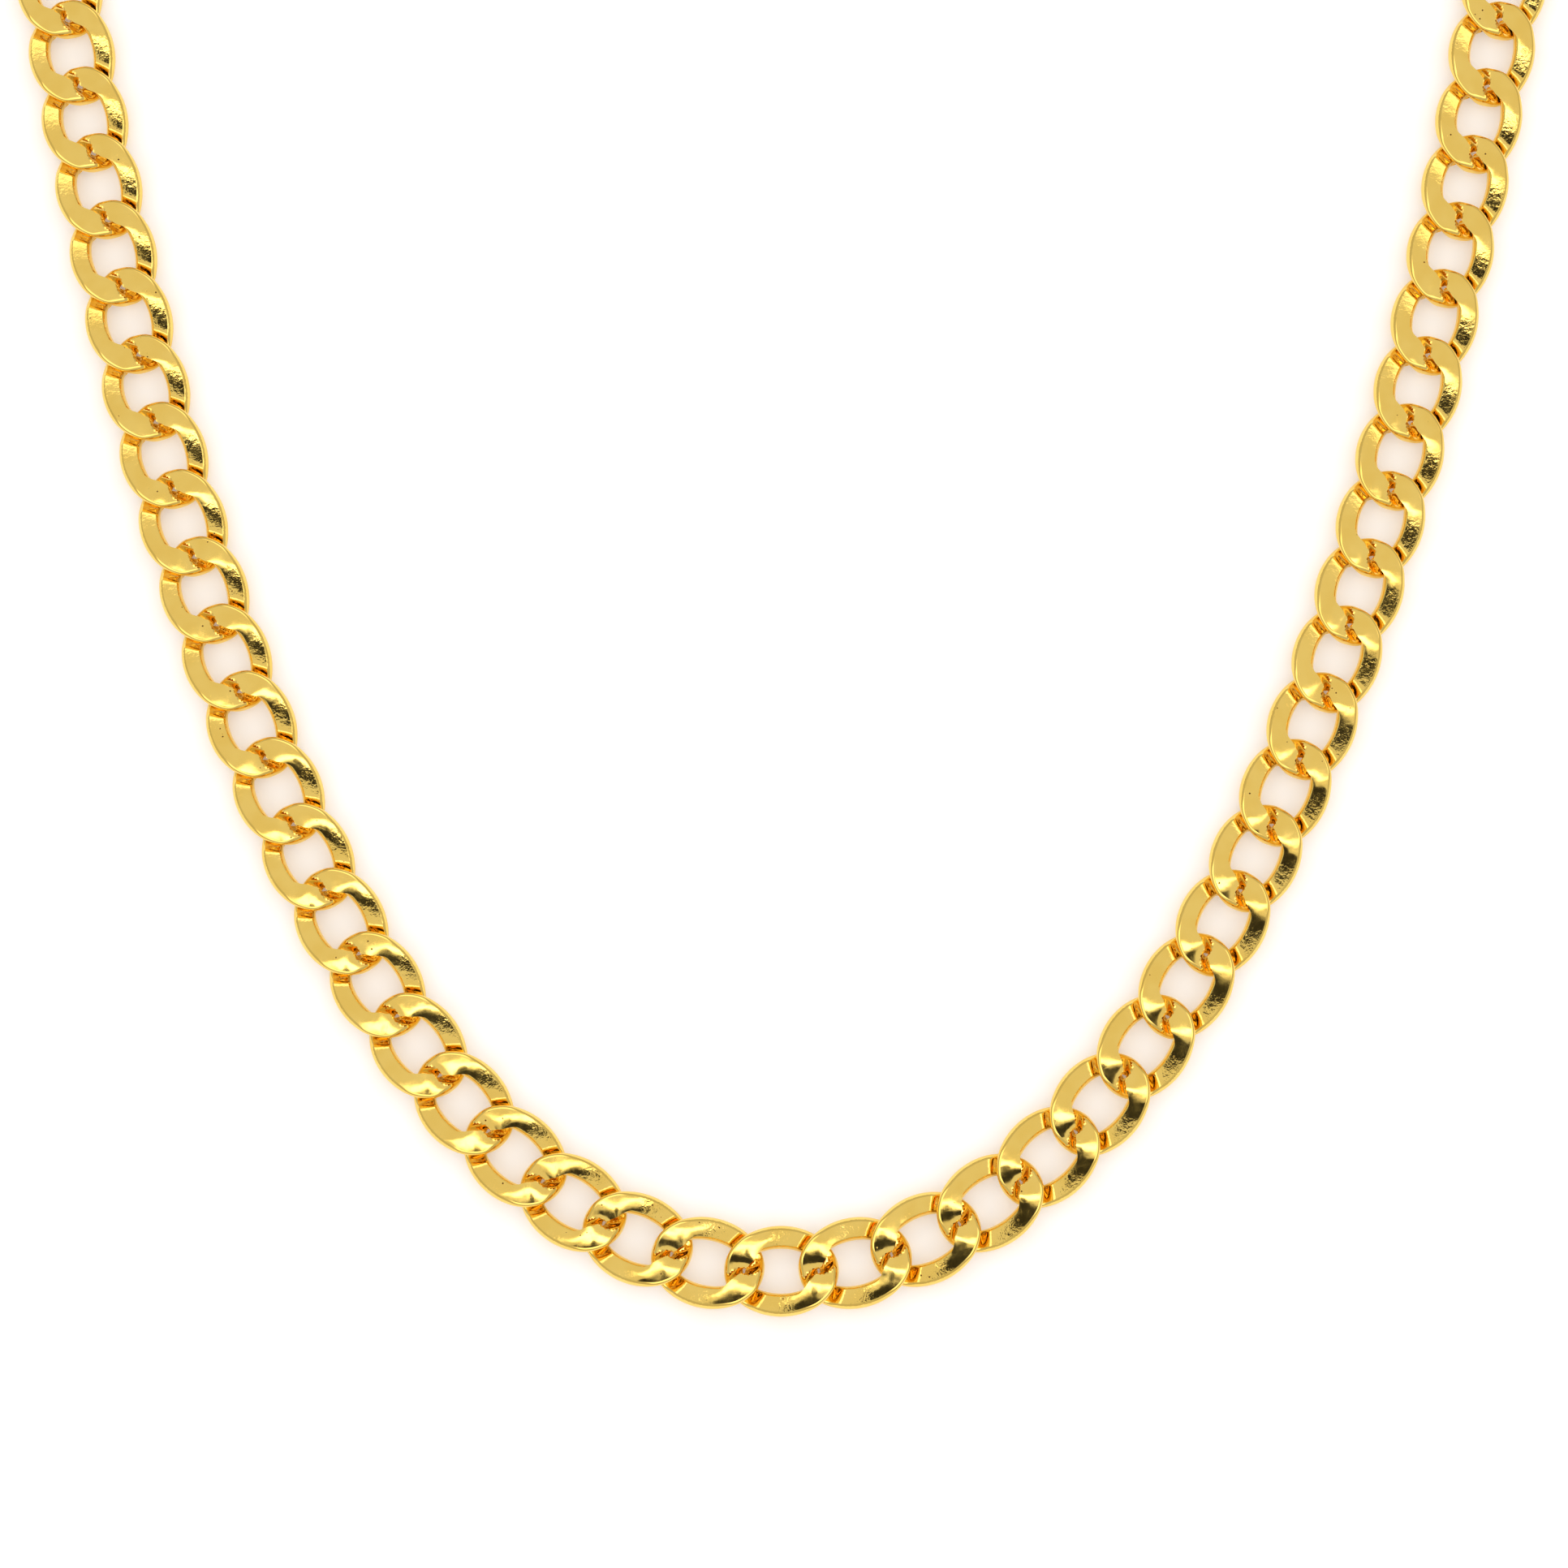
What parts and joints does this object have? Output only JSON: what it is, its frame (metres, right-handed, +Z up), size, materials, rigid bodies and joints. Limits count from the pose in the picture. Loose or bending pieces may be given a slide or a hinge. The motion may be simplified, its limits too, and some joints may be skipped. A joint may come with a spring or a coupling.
{
  "type": "chain necklace",
  "caption": "Curb chain necklace of flat interlocked links, laid open in a loop, with a sprung lobster clasp on one end and a plain ring on the other",
  "frame": {"origin": "Middle of the laid-out necklace's outline, at the level of the surface it lies on", "axes": "+Z up from the surface, +Y from the front of the loop to its open back, +X to the right when the front is nearest"},
  "size_m": [0.1354, 0.2252, 0.0048],
  "materials": {
    "gold_plate": "polished yellow gold plate on brass",
    "steel": "bright drawn steel"
  },
  "bodies": {
    "front_middle_link": {"front_middle_link": "gold_plate"},
    "left_links_01_02": {"left_links_01_02": "gold_plate"},
    "left_links_03_04": {"left_links_03_04": "gold_plate"},
    "left_links_05_06": {"left_links_05_06": "gold_plate"},
    "left_links_07_08": {"left_links_07_08": "gold_plate"},
    "left_links_09_10": {"left_links_09_10": "gold_plate"},
    "left_links_11_12": {"left_links_11_12": "gold_plate"},
    "left_links_13_14": {"left_links_13_14": "gold_plate"},
    "left_links_15_16": {"left_links_15_16": "gold_plate"},
    "left_links_17_18": {"left_links_17_18": "gold_plate"},
    "left_links_19_20": {"left_links_19_20": "gold_plate"},
    "left_links_21_22": {"left_links_21_22": "gold_plate"},
    "left_links_23_24": {"left_links_23_24": "gold_plate"},
    "left_links_25_26": {"left_links_25_26": "gold_plate"},
    "left_links_27_28": {"left_links_27_28": "gold_plate"},
    "left_links_29_30": {"left_links_29_30": "gold_plate"},
    "left_links_31_32": {"left_links_31_32": "gold_plate"},
    "left_links_33_34": {"left_links_33_34": "gold_plate"},
    "left_links_35_36": {"left_links_35_36": "gold_plate"},
    "left_links_37_38": {"left_links_37_38": "gold_plate"},
    "left_links_39_40": {"left_links_39_40": "gold_plate"},
    "left_links_41_42": {"left_links_41_42": "gold_plate"},
    "right_links_01_02": {"right_links_01_02": "gold_plate"},
    "right_links_03_04": {"right_links_03_04": "gold_plate"},
    "right_links_05_06": {"right_links_05_06": "gold_plate"},
    "right_links_07_08": {"right_links_07_08": "gold_plate"},
    "right_links_09_10": {"right_links_09_10": "gold_plate"},
    "right_links_11_12": {"right_links_11_12": "gold_plate"},
    "right_links_13_14": {"right_links_13_14": "gold_plate"},
    "right_links_15_16": {"right_links_15_16": "gold_plate"},
    "right_links_17_18": {"right_links_17_18": "gold_plate"},
    "right_links_19_20": {"right_links_19_20": "gold_plate"},
    "right_links_21_22": {"right_links_21_22": "gold_plate"},
    "right_links_23_24": {"right_links_23_24": "gold_plate"},
    "right_links_25_26": {"right_links_25_26": "gold_plate"},
    "right_links_27_28": {"right_links_27_28": "gold_plate"},
    "right_links_29_30": {"right_links_29_30": "gold_plate"},
    "right_links_31_32": {"right_links_31_32": "gold_plate"},
    "right_links_33_34": {"right_links_33_34": "gold_plate"},
    "right_links_35_36": {"right_links_35_36": "gold_plate"},
    "right_links_37_38": {"right_links_37_38": "gold_plate"},
    "right_links_39_40": {"right_links_39_40": "gold_plate"},
    "right_links_41_42": {"right_links_41_42": "gold_plate"},
    "clasp_ring": {"clasp_ring": "gold_plate"},
    "clasp": {"clasp_body": "gold_plate", "clasp_pin": "steel", "clasp_spring": "steel"},
    "clasp_lever": {"clasp_lever": "gold_plate"},
    "end_ring": {"end_ring": "gold_plate"}
  },
  "joints": [
    {"name": "left_link_01_lift", "type": "hinge", "parent": "front_middle_link", "child": "left_links_01_02", "pos_m": [-0.00288, -0.1091, 0.00095], "axis": [-0.111, -0.9938, 0], "range_deg": [-25, 25]},
    {"name": "left_link_03_swing", "type": "hinge", "parent": "left_links_01_02", "child": "left_links_03_04", "pos_m": [-0.01377, -0.10545, 0.00095], "axis": [0, 0, -1], "range_deg": [-25.8, 6.2]},
    {"name": "left_link_05_lift", "type": "hinge", "parent": "left_links_03_04", "child": "left_links_05_06", "pos_m": [-0.02282, -0.09834, 0.00095], "axis": [0.7113, 0.7029, 0], "range_deg": [-25, 25]},
    {"name": "left_link_07_swing", "type": "hinge", "parent": "left_links_05_06", "child": "left_links_07_08", "pos_m": [-0.03007, -0.08937, 0.00095], "axis": [0, 0, 1], "range_deg": [-11.9, 20.1]},
    {"name": "left_link_09_lift", "type": "hinge", "parent": "left_links_07_08", "child": "left_links_09_10", "pos_m": [-0.03594, -0.07944, 0.00095], "axis": [0.8867, 0.4623, 0], "range_deg": [-25, 25]},
    {"name": "left_link_11_swing", "type": "hinge", "parent": "left_links_09_10", "child": "left_links_11_12", "pos_m": [-0.04081, -0.06898, 0.00095], "axis": [0, 0, -1], "range_deg": [-18, 14]},
    {"name": "left_link_13_lift", "type": "hinge", "parent": "left_links_11_12", "child": "left_links_13_14", "pos_m": [-0.04496, -0.05821, 0.00095], "axis": [-0.9427, -0.3338, 0], "range_deg": [-25, 25]},
    {"name": "left_link_15_swing", "type": "hinge", "parent": "left_links_13_14", "child": "left_links_15_16", "pos_m": [-0.04855, -0.04725, 0.00095], "axis": [0, 0, 1], "range_deg": [-14.9, 17.1]},
    {"name": "left_link_17_lift", "type": "hinge", "parent": "left_links_15_16", "child": "left_links_17_18", "pos_m": [-0.05172, -0.03615, 0.00095], "axis": [-0.9659, -0.2589, 0], "range_deg": [-25, 25]},
    {"name": "left_link_19_swing", "type": "hinge", "parent": "left_links_17_18", "child": "left_links_19_20", "pos_m": [-0.05454, -0.02496, 0.00095], "axis": [0, 0, -1], "range_deg": [-16.7, 15.3]},
    {"name": "left_link_21_lift", "type": "hinge", "parent": "left_links_19_20", "child": "left_links_21_22", "pos_m": [-0.0571, -0.01371, 0.00095], "axis": [0.9775, 0.2109, 0], "range_deg": [-25, 25]},
    {"name": "left_link_23_swing", "type": "hinge", "parent": "left_links_21_22", "child": "left_links_23_24", "pos_m": [-0.05942, -0.0024, 0.00095], "axis": [0, 0, 1], "range_deg": [-15.5, 16.5]},
    {"name": "left_link_25_lift", "type": "hinge", "parent": "left_links_23_24", "child": "left_links_25_26", "pos_m": [-0.06155, 0.00894, 0.00095], "axis": [-0.9841, -0.1776, 0], "range_deg": [-25, 25]},
    {"name": "left_link_27_swing", "type": "hinge", "parent": "left_links_25_26", "child": "left_links_27_28", "pos_m": [-0.06353, 0.02031, 0.00095], "axis": [0, 0, -1], "range_deg": [-19.9, 12.1]},
    {"name": "left_link_29_lift", "type": "hinge", "parent": "left_links_27_28", "child": "left_links_29_30", "pos_m": [-0.06431, 0.03182, 0.00095], "axis": [1, 0.0012, 0], "range_deg": [-25, 25]},
    {"name": "left_link_31_swing", "type": "hinge", "parent": "left_links_29_30", "child": "left_links_31_32", "pos_m": [-0.06356, 0.04332, 0.00095], "axis": [0, 0, 1], "range_deg": [-12.2, 19.8]},
    {"name": "left_link_33_lift", "type": "hinge", "parent": "left_links_31_32", "child": "left_links_33_34", "pos_m": [-0.0613, 0.05464, 0.00095], "axis": [-0.9659, 0.2589, 0], "range_deg": [-25, 25]},
    {"name": "left_link_35_swing", "type": "hinge", "parent": "left_links_33_34", "child": "left_links_35_36", "pos_m": [-0.0576, 0.06556, 0.00095], "axis": [0, 0, -1], "range_deg": [-19.7, 12.3]},
    {"name": "left_link_37_lift", "type": "hinge", "parent": "left_links_35_36", "child": "left_links_37_38", "pos_m": [-0.05252, 0.07591, 0.00095], "axis": [0.8674, -0.4977, 0], "range_deg": [-25, 25]},
    {"name": "left_link_39_swing", "type": "hinge", "parent": "left_links_37_38", "child": "left_links_39_40", "pos_m": [-0.04615, 0.08553, 0.00095], "axis": [0, 0, 1], "range_deg": [-12.3, 19.7]},
    {"name": "left_link_41_lift", "type": "hinge", "parent": "left_links_39_40", "child": "left_links_41_42", "pos_m": [-0.0386, 0.09425, 0.00095], "axis": [0.713, -0.7012, 0], "range_deg": [-27.5, 22.5]},
    {"name": "right_link_01_lift", "type": "hinge", "parent": "front_middle_link", "child": "right_links_01_02", "pos_m": [0.00288, -0.1091, 0.00095], "axis": [-0.111, 0.9938, 0], "range_deg": [-25, 25]},
    {"name": "right_link_03_swing", "type": "hinge", "parent": "right_links_01_02", "child": "right_links_03_04", "pos_m": [0.01377, -0.10545, 0.00095], "axis": [0, 0, 1], "range_deg": [-25.8, 6.2]},
    {"name": "right_link_05_lift", "type": "hinge", "parent": "right_links_03_04", "child": "right_links_05_06", "pos_m": [0.02282, -0.09834, 0.00095], "axis": [0.7113, -0.7029, 0], "range_deg": [-25, 25]},
    {"name": "right_link_07_swing", "type": "hinge", "parent": "right_links_05_06", "child": "right_links_07_08", "pos_m": [0.03007, -0.08937, 0.00095], "axis": [0, 0, -1], "range_deg": [-11.9, 20.1]},
    {"name": "right_link_09_lift", "type": "hinge", "parent": "right_links_07_08", "child": "right_links_09_10", "pos_m": [0.03594, -0.07944, 0.00095], "axis": [0.8867, -0.4623, 0], "range_deg": [-25, 25]},
    {"name": "right_link_11_swing", "type": "hinge", "parent": "right_links_09_10", "child": "right_links_11_12", "pos_m": [0.04081, -0.06898, 0.00095], "axis": [0, 0, 1], "range_deg": [-18, 14]},
    {"name": "right_link_13_lift", "type": "hinge", "parent": "right_links_11_12", "child": "right_links_13_14", "pos_m": [0.04496, -0.05821, 0.00095], "axis": [-0.9427, 0.3338, 0], "range_deg": [-25, 25]},
    {"name": "right_link_15_swing", "type": "hinge", "parent": "right_links_13_14", "child": "right_links_15_16", "pos_m": [0.04855, -0.04725, 0.00095], "axis": [0, 0, -1], "range_deg": [-14.9, 17.1]},
    {"name": "right_link_17_lift", "type": "hinge", "parent": "right_links_15_16", "child": "right_links_17_18", "pos_m": [0.05172, -0.03615, 0.00095], "axis": [-0.9659, 0.2589, 0], "range_deg": [-25, 25]},
    {"name": "right_link_19_swing", "type": "hinge", "parent": "right_links_17_18", "child": "right_links_19_20", "pos_m": [0.05454, -0.02496, 0.00095], "axis": [0, 0, 1], "range_deg": [-16.7, 15.3]},
    {"name": "right_link_21_lift", "type": "hinge", "parent": "right_links_19_20", "child": "right_links_21_22", "pos_m": [0.0571, -0.01371, 0.00095], "axis": [0.9775, -0.2109, 0], "range_deg": [-25, 25]},
    {"name": "right_link_23_swing", "type": "hinge", "parent": "right_links_21_22", "child": "right_links_23_24", "pos_m": [0.05942, -0.0024, 0.00095], "axis": [0, 0, -1], "range_deg": [-15.5, 16.5]},
    {"name": "right_link_25_lift", "type": "hinge", "parent": "right_links_23_24", "child": "right_links_25_26", "pos_m": [0.06155, 0.00894, 0.00095], "axis": [-0.9841, 0.1776, 0], "range_deg": [-25, 25]},
    {"name": "right_link_27_swing", "type": "hinge", "parent": "right_links_25_26", "child": "right_links_27_28", "pos_m": [0.06353, 0.02031, 0.00095], "axis": [0, 0, 1], "range_deg": [-19.9, 12.1]},
    {"name": "right_link_29_lift", "type": "hinge", "parent": "right_links_27_28", "child": "right_links_29_30", "pos_m": [0.06431, 0.03182, 0.00095], "axis": [1, -0.0012, 0], "range_deg": [-25, 25]},
    {"name": "right_link_31_swing", "type": "hinge", "parent": "right_links_29_30", "child": "right_links_31_32", "pos_m": [0.06356, 0.04332, 0.00095], "axis": [0, 0, -1], "range_deg": [-12.2, 19.8]},
    {"name": "right_link_33_lift", "type": "hinge", "parent": "right_links_31_32", "child": "right_links_33_34", "pos_m": [0.0613, 0.05464, 0.00095], "axis": [-0.9659, -0.2589, 0], "range_deg": [-25, 25]},
    {"name": "right_link_35_swing", "type": "hinge", "parent": "right_links_33_34", "child": "right_links_35_36", "pos_m": [0.0576, 0.06556, 0.00095], "axis": [0, 0, 1], "range_deg": [-19.7, 12.3]},
    {"name": "right_link_37_lift", "type": "hinge", "parent": "right_links_35_36", "child": "right_links_37_38", "pos_m": [0.05252, 0.07591, 0.00095], "axis": [0.8674, 0.4977, 0], "range_deg": [-25, 25]},
    {"name": "right_link_39_swing", "type": "hinge", "parent": "right_links_37_38", "child": "right_links_39_40", "pos_m": [0.04615, 0.08553, 0.00095], "axis": [0, 0, -1], "range_deg": [-12.3, 19.7]},
    {"name": "right_link_41_lift", "type": "hinge", "parent": "right_links_39_40", "child": "right_links_41_42", "pos_m": [0.0386, 0.09425, 0.00095], "axis": [0.713, 0.7012, 0], "range_deg": [-27.5, 22.5]},
    {"name": "clasp_ring_lift", "type": "hinge", "parent": "left_links_41_42", "child": "clasp_ring", "pos_m": [-0.02944, 0.10242, 0.00233], "axis": [0.6429, -0.766, 0], "range_deg": [-20, 20]},
    {"name": "clasp_swing", "type": "hinge", "parent": "clasp_ring", "child": "clasp", "pos_m": [-0.02725, 0.10425, 0.00223], "axis": [0, 0, 1], "range_deg": [-30, 30]},
    {"name": "clasp_lever_open", "type": "hinge", "parent": "clasp", "child": "clasp_lever", "pos_m": [-0.02405, 0.10694, 0.00175], "axis": [0.0782, 0.0656, 0.9948], "range_deg": [0, 24], "stiffness_Nm_per_rad": 0.003, "springref_deg": -34.38},
    {"name": "end_ring_lift", "type": "hinge", "parent": "right_links_41_42", "child": "end_ring", "pos_m": [0.02944, 0.10242, 0.00233], "axis": [0.6429, 0.766, 0], "range_deg": [-8, 25]}
  ]
}
